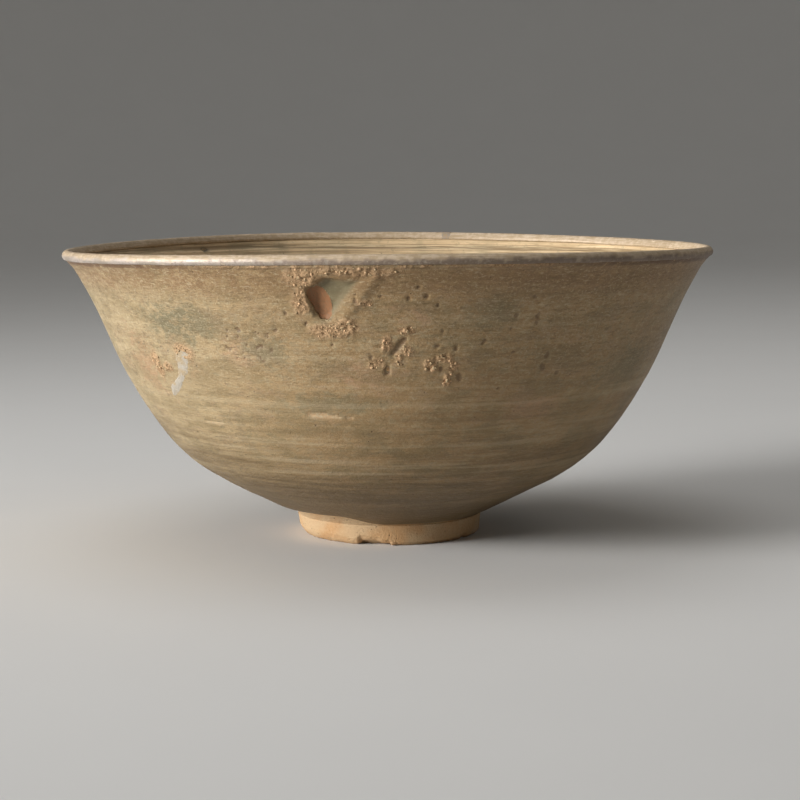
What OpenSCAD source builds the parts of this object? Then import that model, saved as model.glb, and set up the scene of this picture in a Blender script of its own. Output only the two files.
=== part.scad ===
// Tea bowl: a wide thrown bowl of glazed stoneware on a small ring foot, with a metal band round its lip.
// Millimetres, +Z up, origin at the centre of the face that the bowl stands on.
// The walls are solids of revolution, and each skin ends face to face against the next piece.

/* [Bowl] */
// Diameter of the rim, over the metal band
rim_d = 160; // [150:1:170]
// Height from the foot's face to the top of the band
bowl_h = 72.8; // [68:0.2:78]
// Height of the floor inside, at the centre
floor_z = 11; // [10:0.2:13]
// Thickness of the glaze coats
glaze_t = 0.4; // [0.3:0.05:0.6]

/* [Foot ring] */
// Diameter of the foot ring at its top
foot_d = 46; // [42:0.5:50]
// Height of the foot ring
foot_h = 5.2; // [5:0.1:6]
// Width of the face that the bowl stands on
foot_face_w = 4.2; // [3:0.1:5]
// Bevel along the foot ring's outer edge
foot_bevel = 0.8; // [0.3:0.1:1.2]

/* [Rim band] */
// Radius of the rounded bead that the band makes over the lip
bead_r = 1.4; // [1.3:0.05:1.6]
// Thickness of the metal
band_t = 0.45; // [0.3:0.05:0.5]
// Thickness of the lacquer that beds the band
lacquer_t = 0.25; // [0.15:0.05:0.3]
// Straight length of the band's outer leg
outer_leg = 0.3; // [0.2:0.1:1]
// Straight length of the band's inner leg
inner_leg = 1.3; // [0.5:0.1:2]
// Direction of the soldered joint in the band
seam_angle = 78; // [0:1:359]
// Width of the solder in the joint
seam_w = 1; // [0.6:0.1:2]

/* [Bare spot and scar] */
// Direction of the bare spot in the outer glaze
bare_angle = -101; // [-180:1:180]
// Height of the bare spot's centre
bare_z = 62; // [50:1:63]
// Height and width of the bare spot
bare_size = [9.2, 4.6]; // [3:0.2:10]
// Lean of the bare spot from the vertical
bare_lean = -20; // [-90:1:90]
// Direction of the filled scar
scar_angle = -135; // [-180:1:180]
// Height of the scar's centre
scar_z = 44; // [30:1:55]
// Length and width of the scar
scar_size = [16, 3.4]; // [3:0.2:20]
// Lean of the scar from the vertical
scar_lean = 40; // [0:1:90]

/* [Hidden] */
$fn = 180;

foot_r = foot_d / 2;
lip_tilt = 30;                                  // the lip leans outwards by this much
lip_axis = [sin(lip_tilt), cos(lip_tilt)];
lip_side = [cos(lip_tilt), -sin(lip_tilt)];
lip_centre = [rim_d / 2 - bead_r, bowl_h - bead_r];
clay_lip_r = bead_r - band_t - lacquer_t;       // half the clay's thickness at the lip
glaze_lip_r = clay_lip_r + glaze_t;
lip_run = 1.6;                                  // straight stretch of the wall below the band
spline_steps = 4;
tokin_r = 7;                                    // low cone left by the turning tool inside the foot
tokin_h = 0.8;
cut_depth = 30;                                 // how far the cutters reach through the wall

// Where the glaze ends against the band, outside and inside.
outer_end = lip_centre + glaze_lip_r * lip_side - outer_leg * lip_axis;
inner_end = lip_centre - glaze_lip_r * lip_side - inner_leg * lip_axis;

// The wall's outer curve from the foot to the lip, as shares of its width and height.
OUTER_SHARES = [[0, 0], [0.145, 0.06], [0.38, 0.165], [0.502, 0.243], [0.6, 0.345], [0.755, 0.57],
                [0.875, 0.805], [0.945, 0.92]];
// The inner curve from the floor's centre to the lip, as shares of its width and depth.
// The floor has a shallow well, with a soft step round it.
INNER_SHARES = [[0, 0], [0.19, 0.002], [0.27, 0.014], [0.33, 0.04], [0.54, 0.155], [0.69, 0.32], [0.81, 0.56],
                [0.905, 0.81], [0.955, 0.92]];

outer_start = [foot_r, foot_h];
inner_start = [0, floor_z];

function spread(shares, from, to) = [
    for (s = shares) [from.x + s.x * (to.x - from.x), from.y + s.y * (to.y - from.y)]
];

// A point between b and c on the Catmull-Rom curve through a, b, c and d.
function curve_point(a, b, c, d, t) =
    0.5 * (2 * b + (c - a) * t + (2 * a - 5 * b + 4 * c - d) * t * t + (3 * b - a - 3 * c + d) * t * t * t);

function spline(knots) = [
    for (i = [0 : len(knots) - 2], j = [0 : spline_steps - 1])
        let (before = knots[max(i - 1, 0)], after = knots[min(i + 2, len(knots) - 1)])
            curve_point(before, knots[i], knots[i + 1], after, j / spline_steps)
];

// The curve through the knots, ending in the lip's straight run.
function wall_path(knots, end) =
    let (run_start = end - lip_run * lip_axis)
        concat(spline(concat(knots, [run_start])), [run_start, end]);

// A path moved sideways, to its left for a positive distance. A point on the axis stays on it.
function side_step(path, distance) = [
    for (i = [0 : len(path) - 1])
        let (run = path[min(i + 1, len(path) - 1)] - path[max(i - 1, 0)],
             moved = path[i] + distance * [-run.y, run.x] / norm(run))
            [path[i].x == 0 ? 0 : moved.x, moved.y]
];

function reversed(path) = [for (i = [len(path) - 1 : -1 : 0]) path[i]];

function lip_arc(radius) = [
    for (a = [0 : 15 : 180]) lip_centre + radius * [cos(a - lip_tilt), sin(a - lip_tilt)]
];

// The section of a strip folded over the lip, between two radii, with its two legs.
function folded_strip(inner_r, outer_r) = concat(
    [lip_centre + outer_r * lip_side - outer_leg * lip_axis],
    lip_arc(outer_r),
    [lip_centre - outer_r * lip_side - inner_leg * lip_axis],
    [lip_centre - inner_r * lip_side - inner_leg * lip_axis],
    reversed(lip_arc(inner_r)),
    [lip_centre + inner_r * lip_side - outer_leg * lip_axis]
);

outer_path = wall_path(spread(OUTER_SHARES, outer_start, outer_end), outer_end);
inner_path = wall_path(spread(INNER_SHARES, inner_start, inner_end), inner_end);
clay_outer_path = side_step(outer_path, glaze_t);
clay_inner_path = side_step(inner_path, -glaze_t);

// Radius of the glazed wall at a height.
function wall_r(z) = lookup(z, [for (p = outer_path) [p.y, p.x]]);

module turned(section) {
    rotate_extrude() polygon(section);
}

// Everything inside the bowl's outer surface, for seating what is stuck to the wall.
module wall_core() {
    turned(concat([[0, foot_h]], outer_path, [[0, outer_end.y]]));
}

// An oval cutter that points straight in at the wall. size is its height and width.
module wall_cutter(angle, z, size, lean) {
    rotate([0, 0, angle])
        translate([wall_r(z) - cut_depth / 2, 0, z])
            rotate([0, 90, 0])
                rotate([0, 0, -lean])
                    linear_extrude(cut_depth)
                        polygon([for (a = [0 : 15 : 345]) [size[0] / 2 * cos(a), size[1] / 2 * sin(a)]]);
}

module outer_skin() {
    turned(concat(outer_path, reversed(clay_outer_path)));
}

module band_ring() {
    turned(folded_strip(bead_r - band_t, bead_r));
}

module seam_slot() {
    rotate([0, 0, seam_angle])
        translate([rim_d / 2 - cut_depth / 2, -seam_w / 2, bowl_h - cut_depth / 2])
            cube([cut_depth, seam_w, cut_depth]);
}

module clay_body() {
    color("rosybrown")
        turned(concat(
            [[0, foot_h - tokin_h], [tokin_r, foot_h], outer_start],
            clay_outer_path,
            lip_arc(clay_lip_r),
            reversed(clay_inner_path)
        ));
}

module foot_ring() {
    lean = 0.4;                                 // the foot narrows a little towards its face
    face_outer_r = foot_r - lean - foot_bevel;
    face_inner_r = face_outer_r - foot_face_w;
    color("burlywood")
        turned([
            outer_start,
            [foot_r - lean, foot_bevel],
            [face_outer_r, 0],
            [face_inner_r, 0],
            [face_inner_r - foot_bevel, foot_bevel],
            [face_inner_r - foot_bevel - 2 * lean, foot_h]
        ]);
}

module outer_glaze() {
    color("darkkhaki")
        difference() {
            outer_skin();
            wall_cutter(bare_angle, bare_z, bare_size, bare_lean);
            wall_cutter(scar_angle, scar_z, scar_size, scar_lean);
        }
}

module inner_glaze() {
    color("tan")
        turned(concat(clay_inner_path, reversed(inner_path)));
}

module rim_lacquer() {
    color("black")
        turned(folded_strip(clay_lip_r, bead_r - band_t));
}

module rim_band() {
    color("slategray")
        difference() {
            band_ring();
            seam_slot();
        }
}

module band_solder() {
    color("silver")
        intersection() {
            band_ring();
            seam_slot();
        }
}

// Grains of kiln grit fused to the wall in two patches: direction, height and radius of each.
GRAINS = [
    [-90.6, 54.2, 0.8], [-89.4, 53.0, 0.9], [-88.4, 52.2, 0.7], [-87.0, 53.2, 0.6], [-88.9, 50.6, 0.9],
    [-87.6, 49.6, 0.8], [-86.6, 47.8, 0.9], [-87.9, 46.9, 0.7], [-82.6, 50.4, 0.8], [-81.2, 51.0, 0.7],
    [-79.4, 50.2, 0.9], [-82.9, 48.2, 0.7], [-81.7, 46.4, 0.8], [-79.8, 45.8, 0.9], [-77.9, 47.4, 0.7]
];

module kiln_grit() {
    color("wheat")
        difference() {
            for (grain = GRAINS)
                rotate([0, 0, grain[0]])
                    translate([wall_r(grain[1]), 0, grain[1]])
                        sphere(grain[2], $fn = 60);
            wall_core();
        }
}

module scar_fill() {
    color("lightgray")
        intersection() {
            outer_skin();
            wall_cutter(scar_angle, scar_z, scar_size, scar_lean);
        }
}

clay_body();
foot_ring();
outer_glaze();
inner_glaze();
rim_lacquer();
rim_band();
band_solder();
kiln_grit();
scar_fill();
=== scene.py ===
"""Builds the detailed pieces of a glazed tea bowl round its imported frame, and a plain stage."""

import math

import bmesh
import bpy
import numpy as np
from mathutils import Matrix, Vector


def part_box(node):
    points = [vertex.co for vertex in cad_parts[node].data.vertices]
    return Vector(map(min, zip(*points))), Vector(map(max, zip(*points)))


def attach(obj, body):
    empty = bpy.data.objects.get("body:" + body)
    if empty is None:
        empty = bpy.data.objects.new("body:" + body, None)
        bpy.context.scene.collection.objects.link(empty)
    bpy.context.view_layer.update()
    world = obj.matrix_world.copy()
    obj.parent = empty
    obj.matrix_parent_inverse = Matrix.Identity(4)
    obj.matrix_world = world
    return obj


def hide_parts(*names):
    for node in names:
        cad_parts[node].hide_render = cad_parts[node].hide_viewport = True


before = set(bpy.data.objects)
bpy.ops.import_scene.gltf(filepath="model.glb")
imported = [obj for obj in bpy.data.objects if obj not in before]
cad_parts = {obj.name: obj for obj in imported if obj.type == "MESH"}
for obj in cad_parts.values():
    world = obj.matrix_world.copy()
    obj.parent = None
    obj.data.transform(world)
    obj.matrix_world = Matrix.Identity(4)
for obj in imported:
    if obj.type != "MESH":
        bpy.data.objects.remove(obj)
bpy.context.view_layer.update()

bl_info = {
    "name": "Tea bowl",
    "version": (1, 0, 0),
    "blender": (4, 5, 0),
    "location": "3D View > Sidebar > Tea bowl",
    "description": "Clay, glaze coats, rim band, grit and scar of a tea bowl, and a plain stage",
    "category": "Object",
}

MM = 0.001                       # shapes are worked out in millimetres and made in metres

# ---- the frame's sizes -----------------------------------------------------

RIM_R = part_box("rim_band")[1].x / MM
CREST_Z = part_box("rim_band")[1].z / MM
FOOT_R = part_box("foot_ring")[1].x / MM
FOOT_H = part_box("foot_ring")[1].z / MM
CLAY_FLOOR_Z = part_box("inner_glaze")[0].z / MM
CONE_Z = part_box("clay_body")[0].z / MM        # tip of the low cone inside the foot
BEAD_R = 1.4                                  # the band's bead round the lip
BAND_T = 0.45
CLAY_LIP_R = 0.7                              # half the clay's thickness at the lip
GLAZE_T = 0.4
OUTER_LEG = 0.3                               # straight legs of the band, outside and inside
INNER_LEG = 1.3
LIP_RUN = 1.6                                 # straight stretch of the wall below the band
LIP_TILT = math.radians(30)
LIP_AXIS = np.array([math.sin(LIP_TILT), math.cos(LIP_TILT)])
LIP_SIDE = np.array([math.cos(LIP_TILT), -math.sin(LIP_TILT)])
LIP_CENTRE = np.array([RIM_R - BEAD_R, CREST_Z - BEAD_R])
CONE_R = 7                                    # the low cone inside the foot
FOOT_FACE_IN = 17.6                           # inner edge of the face that the foot stands on
FOOT_BORE_R = 16.05                           # inside of the foot, at its top
LEFT_FRONT = -2.88                            # where the wall was turned away further above the foot

# The wall's curves as shares of their width and height. The outer one starts at the foot, and the inner one at
# the floor's centre.
OUTER_SHARES = [(0, 0), (0.145, 0.06), (0.38, 0.165), (0.502, 0.243), (0.6, 0.345), (0.755, 0.57),
                (0.875, 0.805), (0.945, 0.92)]
INNER_SHARES = [(0, 0), (0.19, 0.002), (0.27, 0.014), (0.33, 0.04), (0.54, 0.155), (0.69, 0.32),
                (0.81, 0.56), (0.905, 0.81), (0.955, 0.92)]

# ---- marks on the outer wall -----------------------------------------------
# Each mark has a home: a direction in degrees and a height. Its own points are millimetres to the right of the
# home and up along the wall.

HOLLOW_HOME = (-101, 62)
HOLLOW_EDGE = [(-2.5, 4.0), (-0.6, 4.8), (1.4, 6.4), (10.4, 6.2), (6.8, 1.6), (3.6, -2.8), (2.4, -4.5),
               (0.6, -4.9), (-1.6, -3.0), (-2.8, 1.0)]
HOLLOW_RIDGE = [(12.4, 6.4), (8.7, 1.3), (5.0, -3.4)]
BARE_CENTRE = (0.0, 0.0)
BARE_RADII = (2.25, 4.1)
BARE_LEAN = 16
SCAR_HOME = (-135, 44)
# The scar's middle line, with its half-width.
SCAR_PATH = [(3.6, 6.6, 1.9), (2.7, 4.2, 2.1), (1.6, 2.0, 1.8), (-0.3, -0.7, 0.9), (-2.6, -2.5, 1.3),
             (-4.7, -4.0, 1.3), (-6.2, -5.6, 0.5)]
GRIT_HOME = (-88, 51)
RING_HOME = (-80, 48)
CHIP_HOME = (-103, 36.5)

# Crumbled places: home, centre to the right and up, and radii.
CRUMBS = [
    (HOLLOW_HOME, (-3.4, 6.6), (4.2, 2.3)), (HOLLOW_HOME, (-4.2, 0.6), (1.7, 4.0)),
    (HOLLOW_HOME, (1.2, -6.6), (4.2, 1.9)), (HOLLOW_HOME, (5.2, -5.8), (2.6, 2.3)),
    (HOLLOW_HOME, (9.8, 0.2), (1.8, 0.8)), (HOLLOW_HOME, (8.5, 8.2), (9.5, 1.2)),
    (GRIT_HOME, (1.9, 5.2), (2.0, 1.0)), (GRIT_HOME, (-2.6, 2.2), (1.2, 2.3)),
    (GRIT_HOME, (2.0, 0.6), (1.5, 1.3)), (GRIT_HOME, (0.3, -1.6), (1.0, 1.7)),
    (GRIT_HOME, (-4.5, -2.6), (1.8, 1.4)),
    (RING_HOME, (-2.7, 0.2), (1.6, 1.6)), (RING_HOME, (0.2, 1.7), (2.4, 0.9)),
    (RING_HOME, (2.6, -0.6), (1.2, 1.6)), (RING_HOME, (1.4, -3.8), (1.0, 1.5)),
    (SCAR_HOME, (4.2, 6.4), (3.2, 2.0)), (SCAR_HOME, (-7.5, 2.6), (1.6, 3.6)),
    (SCAR_HOME, (-3.4, 2.2), (2.0, 1.2)),
]
# Clouds in the glaze: home, and radii round the bowl and up it.
GREEN_CLOUDS = [((-130, 57), (15, 7)), ((-113, 51), (10, 5)), ((-100, 39), (17, 4)), ((-72, 60), (9, 5)),
                ((-35, 45), (16, 9)), ((60, 52), (18, 8)), ((150, 38), (16, 9)), ((100, 62), (12, 5))]
PINK_CLOUDS = [((-117, 51), (9, 5)), ((-146, 47), (9, 12)), ((-93, 46), (13, 5)), ((-86, 60), (10, 4)),
               ((-60, 38), (12, 6)), ((15, 56), (14, 6)), ((115, 40), (15, 8)), ((-170, 30), (12, 6))]
# Broken places where pale clay shows: home, centre, radii.
CHIPS = [(CHIP_HOME, (-1.2, -0.2), (3.4, 0.85)), (CHIP_HOME, (1.2, -0.5), (2.2, 0.5)),
         (CHIP_HOME, (4.4, -0.8), (3.4, 0.22)), ((-131, 33), (0, 0), (3.4, 0.2)),
         ((40, 44), (0, 0), (2.8, 0.8)), ((118, 30), (0, 0), (3.6, 0.6)), ((160, 55), (0, 0), (1.6, 1.0))]
# Single pits: direction, height and radius.
PITS = [(-95, 62.5, 0.6), (-84.7, 65.5, 0.5), (-83.3, 63.5, 0.65), (-81.5, 61.7, 0.4), (-72.7, 53, 0.6),
        (-77.7, 51.8, 0.6), (-67.4, 58.8, 0.6), (-63, 58.2, 0.7), (-64.7, 62.8, 0.55), (-59.2, 49.2, 0.7),
        (-59.5, 46.7, 0.8), (-55.7, 45, 0.7), (-76.4, 45.4, 0.85), (-90, 47, 0.75), (-80.1, 47, 0.6),
        (-107, 59.7, 0.5), (-104, 57.5, 0.5), (-99.5, 52.8, 0.4)]
# Groups of pits: direction, height, spread round the bowl in degrees and up it in millimetres, and how many.
PIT_GROUPS = [(-116, 52.5, 7, 3.6, 26), (-90, 57, 14, 7, 7), (-60, 50, 9, 8, 6), (20, 50, 20, 9, 12),
              (95, 56, 18, 8, 16), (150, 44, 16, 10, 12)]
# Grooves: home, from, to, half-width and depth.
GROOVES = [(GRIT_HOME, (1.4, 3.2), (-1.2, -0.2), 0.6, 0.36), (GRIT_HOME, (-2.1, -3.7), (-2.5, -4.9), 0.5, 0.3)]
# Specks inside the bowl: direction, height and radius.
INNER_SPOTS = [(132.5, 69.0, 1.0), (150, 68.4, 0.4), (40, 61, 0.5), (70, 52, 0.6), (-150, 47, 0.6),
               (-40, 58, 0.5), (5, 40, 0.5)]
# The outer glaze's lower edge, from the clay outwards: how far above the glaze's start, how far under its face
# as a share of its thickness, and how much of the roll it takes.
GLAZE_EDGE = [(0.6, 1.03, 0), (0.15, 1.0, 0), (0.0, 0.7, 0.5), (0.0, 0.35, 1), (0.2, 0.08, 1), (0.5, 0, 0.5)]


# ---- small maths -----------------------------------------------------------

def stacked(x, y, z):
    """Three arrays of coordinates as one array of points."""
    return np.stack(np.broadcast_arrays(x, y, z), axis=-1)


def smooth_step(value, low, high):
    """0 below low, 1 above high and an S-curve between; low may be the greater."""
    t = np.clip((value - low) / (high - low), 0, 1)
    return t * t * (3 - 2 * t)


def turn_from(theta, direction):
    """Angle of each place from a direction, between minus and plus half a turn."""
    return (theta - direction + math.pi) % (2 * math.pi) - math.pi


def value_noise(points, seed):
    """Smooth noise between -1 and 1 at an array of points, one unit to a cell."""
    table = np.random.default_rng(seed).uniform(-1, 1, 4096)
    cell = np.floor(points).astype(np.int64)
    part = points - cell
    part = part * part * (3 - 2 * part)
    total = np.zeros(points.shape[:-1])
    for corner in np.ndindex(2, 2, 2):
        at = cell + corner
        key = (at[..., 0] * 73856093) ^ (at[..., 1] * 19349663) ^ (at[..., 2] * 83492791)
        weight = np.prod(np.where(corner, part, 1 - part), axis=-1)
        total = total + weight * table[key & 4095]
    return total


def layered_noise(points, seed, layers=3, gain=0.5):
    """Value noise in layers, each twice as fine as the one before."""
    sizes = [gain ** i for i in range(layers)]
    layered = sum(a * value_noise(points * 2 ** i + 17 * i, seed + i) for i, a in enumerate(sizes))
    return layered / sum(sizes)


def turn_points(theta, along, across):
    """Places on a ring for noise: across cells to each radian round it, and along in cells up it."""
    return stacked(np.cos(theta) * across, np.sin(theta) * across, along)


def noise_round(theta, across, seed, layers=3):
    """Noise that changes only round the bowl, with so many cells to each radian."""
    return layered_noise(turn_points(theta, 0 * theta, across), seed, layers)


def segment_distance(u, v, start, end):
    """Distance from each place to the segment between two points."""
    start, end = np.array(start, float), np.array(end, float)
    run = end - start
    t = np.clip(((u - start[0]) * run[0] + (v - start[1]) * run[1]) / (run @ run), 0, 1)
    return np.hypot(u - start[0] - t * run[0], v - start[1] - t * run[1])


def outline_depth(u, v, outline):
    """Distance in from an outline, negative outside it."""
    inside = np.zeros(u.shape, bool)
    nearest = np.full(u.shape, np.inf)
    for start, end in zip(outline, outline[1:] + outline[:1]):
        nearest = np.minimum(nearest, segment_distance(u, v, start, end))
        crosses = (start[1] > v) != (end[1] > v)
        rise = end[1] - start[1] or 1e-9
        inside ^= crosses & (u < start[0] + (v - start[1]) * (end[0] - start[0]) / rise)
    return np.where(inside, nearest, -nearest)


def oval_depth(u, v, centre, radii, lean=0.0):
    """1 at the middle of an oval, 0 on its edge and negative outside. lean tips its top left, in degrees."""
    a = math.radians(lean)
    du, dv = u - centre[0], v - centre[1]
    across = du * math.cos(a) + dv * math.sin(a)
    along = dv * math.cos(a) - du * math.sin(a)
    return 1 - np.hypot(across / radii[0], along / radii[1])


def graded(stretches):
    """Values in stretches of (from, to, step), evenly spaced within each."""
    runs = []
    for low, high, step in stretches:
        runs.append(np.linspace(low, high, max(1, round((high - low) / step)), endpoint=False))
    return np.concatenate(runs)


# ---- the bowl's form -------------------------------------------------------

def curve_through(knots, steps=8):
    """Points on the Catmull-Rom curve through the knots."""
    knots = np.array(knots, float)
    ends = np.vstack([knots[:1], knots, knots[-1:]])
    t = np.linspace(0, 1, steps, endpoint=False)[:, None]
    spans = [
        0.5 * (2 * b + (c - a) * t + (2 * a - 5 * b + 4 * c - d) * t**2 + (3 * b - a - 3 * c + d) * t**3)
        for a, b, c, d in zip(ends, ends[1:], ends[2:], ends[3:])
    ]
    return np.vstack([*spans, knots[-1:]])


def wall_curve(shares, start, end):
    """The wall's curve from its start to the lip, with a straight run below the band."""
    knots = [start + np.array(share) * (end - start) for share in shares]
    return np.vstack([curve_through([*knots, end - LIP_RUN * LIP_AXIS]), end])


class Section:
    """A curve in the plane of the bowl's axis, read by the length along it. Its side is right of its run."""

    def __init__(self, points):
        self.points = points
        steps = np.linalg.norm(np.diff(points, axis=0), axis=1)
        self.marks = np.concatenate([[0], np.cumsum(steps)])
        self.length = self.marks[-1]
        run = np.gradient(points, self.marks, axis=0)
        run = run / np.linalg.norm(run, axis=1)[:, None]
        self.sides = np.stack([run[:, 1], -run[:, 0]], axis=1)

    def read(self, table, s):
        return np.interp(s, self.marks, table)

    def radius(self, s):
        return self.read(self.points[:, 0], s)

    def at_height(self, z):
        return np.interp(z, self.points[:, 1], self.marks)

    def lifted(self, s, lift):
        """Radius and height at a length along the curve, moved to its side by lift."""
        r = self.read(self.points[:, 0], s) + lift * self.read(self.sides[:, 0], s)
        z = self.read(self.points[:, 1], s) + lift * self.read(self.sides[:, 1], s)
        return r, z


GLAZE_LIP_R = CLAY_LIP_R + GLAZE_T
OUTER_END = LIP_CENTRE + GLAZE_LIP_R * LIP_SIDE - OUTER_LEG * LIP_AXIS
INNER_END = LIP_CENTRE - GLAZE_LIP_R * LIP_SIDE - INNER_LEG * LIP_AXIS
OUTER = Section(wall_curve(OUTER_SHARES, np.array([FOOT_R, FOOT_H]), OUTER_END))
INNER = Section(wall_curve(INNER_SHARES, np.array([0, CLAY_FLOOR_Z + GLAZE_T]), INNER_END))


def placed(theta, r, z):
    """Points in metres, with the bowl's warp: its rim dips at the left and right and isn't quite round."""
    share = np.clip(z / CREST_Z, 0, 1) ** 2
    at_sides = 0.7 * (1 + np.cos(2 * theta - 0.2))
    dip = 0.3 * np.sin(theta) ** 2 * (0.4 + np.cos(theta)) + at_sides - 0.15 * np.cos(theta)
    drop = smooth_step(z, 54, CREST_Z) * np.maximum(dip, 0.02)
    below_band = smooth_step(z, CREST_Z - 1.5, CREST_Z - 5)
    r = r - share * (0.1 + 0.1 * np.sin(3 * theta + 1)) - 0.6 * drop * below_band
    z = z - drop
    return stacked(r * np.cos(theta), r * np.sin(theta), z) * MM


def from_home(theta, s, home):
    """Millimetres to the right of a mark's home and up the wall from it."""
    turn = turn_from(theta, math.radians(home[0]))
    return np.broadcast_arrays(turn * OUTER.radius(s), s - OUTER.at_height(home[1]))


def foot_side(theta):
    """1 at the left front, where the wall was turned away further above the foot, and 0 elsewhere."""
    return smooth_step(np.abs(turn_from(theta, LEFT_FRONT)), 1.3, 0.75)


def form_lift(theta, s):
    """How far the wall's outside stands off its even curve: throwing, turning and the flaked hollow."""
    mark = OUTER.at_height
    swell = 0.16 * layered_noise(turn_points(theta, s / 11, 2.2), 11)
    turning = 0.10 * layered_noise(turn_points(theta, s / 2.6, 1.3), 12) * smooth_step(s, mark(50), 18)
    u, v = from_home(theta, s, HOLLOW_HOME)
    wander = layered_noise(stacked(u, v, 0) / 2.2, 13)
    depth = outline_depth(u + 0.3 * wander, v + 0.3 * wander, HOLLOW_EDGE)
    slope = smooth_step(u - 0.6 * v, 9.0, -2.5)
    steep = 0.45 + 2.4 * smooth_step(u - 0.4 * v, 0.0, 5.0)
    hollow = smooth_step(depth, -0.25, steep) * (0.25 + 0.75 * slope)
    lift = swell + turning - hollow + 0.3 * smooth_step(ridge_distance(u, v), 2.2, 0.0)
    lump = smooth_step(oval_depth(u, v, (-2.6, 6.2), (4.6, 2.6)), 0, 0.6)
    lift = lift + 0.35 * lump * smooth_step(depth, 0.1, -0.2)
    dent_u, dent_v = from_home(theta, s, GRIT_HOME)
    lift = lift - 0.25 * smooth_step(oval_depth(dent_u, dent_v, (-0.5, 0), (5.0, 6.5)), 0, 1)
    lift = lift * smooth_step(s, OUTER.length + 0.3, OUTER.length - 2.5) * smooth_step(s, 0, 4)
    # The belly was turned a little flatter than its curve, and most at the left front above the foot.
    flat = 0.2 * smooth_step(s, mark(5.6), mark(11)) * smooth_step(s, mark(34), mark(24))
    flat = flat + 0.2 * smooth_step(s, mark(13), mark(21)) * smooth_step(s, mark(30), mark(22))
    return lift - flat - 1.75 * foot_side(theta) * smooth_step(s, 7, 0)


def ridge_distance(u, v):
    """Distance from the soft ridge along the hollow's right side."""
    return np.minimum(*[segment_distance(u, v, a, b) for a, b in zip(HOLLOW_RIDGE, HOLLOW_RIDGE[1:])])


def bare_depth(theta, s):
    """1 at the middle of the bare spot and 0 on its edge."""
    u, v = from_home(theta, s, HOLLOW_HOME)
    return oval_depth(u, v, BARE_CENTRE, BARE_RADII, BARE_LEAN)


def pit_places():
    """Direction, height and radius of every pit in the outer glaze."""
    rng = np.random.default_rng(5)
    places = list(PITS)
    for angle, z, spread_angle, spread_z, count in PIT_GROUPS:
        for _ in range(count):
            places.append((angle + spread_angle * rng.uniform(-1, 1), z + spread_z * rng.uniform(-1, 1),
                           rng.uniform(0.22, 0.55)))
    return places


def glaze_marks(theta, s):
    """The fine relief of the outer glaze, and masks of what shows on it, some of them painted shade."""
    places = turn_points(theta, s, OUTER.radius(s))
    wander = [layered_noise(places / 1.6, seed) for seed in (21, 22)]

    def patches(marks, spread, low, high):
        """The strongest of a group of ovals at each place, with ragged edges."""
        strongest = np.zeros(places.shape[:-1])
        for home, centre, radii in marks:
            u, v = from_home(theta, s, home)
            depth = oval_depth(u + spread * wander[0], v + spread * wander[1], centre, radii)
            strongest = np.maximum(strongest, smooth_step(depth, low, high))
        return strongest

    crumb = patches(CRUMBS, 1.0, -0.35, 0.4)
    chip = patches(CHIPS, 0.4, 0.0, 0.22)
    green = patches([(home, (0, 0), radii) for home, radii in GREEN_CLOUDS], 2.5, 0, 0.7)
    pink = patches([(home, (0, 0), radii) for home, radii in PINK_CLOUDS], 2.5, 0, 0.8)
    pits = [((angle, z), (0, 0), (1.3 * radius, 1.7 * radius)) for angle, z, radius in pit_places()]
    pit = patches(pits, 0.7, 0, 0.8)
    groove = np.zeros(crumb.shape)
    for home, start, end, half_width, depth in GROOVES:
        u, v = from_home(theta, s, home)
        reach = segment_distance(u + 0.3 * wander[0], v + 0.3 * wander[1], start, end)
        groove = np.maximum(groove, depth * smooth_step(reach, 1.6 * half_width, 0.1))
    u, v = from_home(theta, s, HOLLOW_HOME)
    smooth = smooth_step(outline_depth(u, v, HOLLOW_EDGE), -0.2, 1.4)
    smooth = smooth * smooth_step(ridge_distance(u, v), 1.2, 3.4)
    # Darker at the top of the hollow: pooled glaze and painted shadow under its overhanging top edge.
    pool_and_shadow = smooth * smooth_step(v - 0.25 * u, -0.5, 4.0)
    crumb = crumb * (1 - smooth)
    edge = smooth_step(s, OUTER.length - 1.3, OUTER.length - 0.5)
    edge = edge * smooth_step(np.abs(theta + 1.6), 0.75, 0.35)
    crumb = np.maximum(crumb, edge * smooth_step(wander[0], -0.25, 0.35))
    coarse = layered_noise(places / 1.05, 23, layers=2)
    fine = layered_noise(places / 0.5, 24, layers=2)
    crumble = crumb * (0.06 + 0.34 * coarse + 0.2 * fine)
    fade = smooth_step(s, OUTER.length + 0.1, OUTER.length - 0.5)
    lift = (crumble - 0.3 * pit * (1 - smooth) - 0.25 * chip - groove) * fade + 0.018 * fine
    # seat: a painted shadow line in the glaze just under the band's lower edge.
    seat = smooth_step(s, OUTER.length - 1.4, OUTER.length - 0.7) * (1 - edge)
    # Browner, darker right front side: partly the glaze's own tone, partly painted shade on the side turned
    # away from the key light.
    browner_shaded_side = smooth_step(np.cos(theta + math.radians(62)), 0.1, 0.95) + 0 * s
    masks = {"crumb": crumb, "pit": np.maximum(pit * (1 - smooth), np.clip(groove * 3, 0, 1)), "chip": chip,
             "smooth": smooth, "green": green, "pink": pink, "browner_shaded_side": browner_shaded_side, "seat": seat, "pool_and_shadow": pool_and_shadow}
    return lift, masks


# ---- making meshes ---------------------------------------------------------

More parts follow.
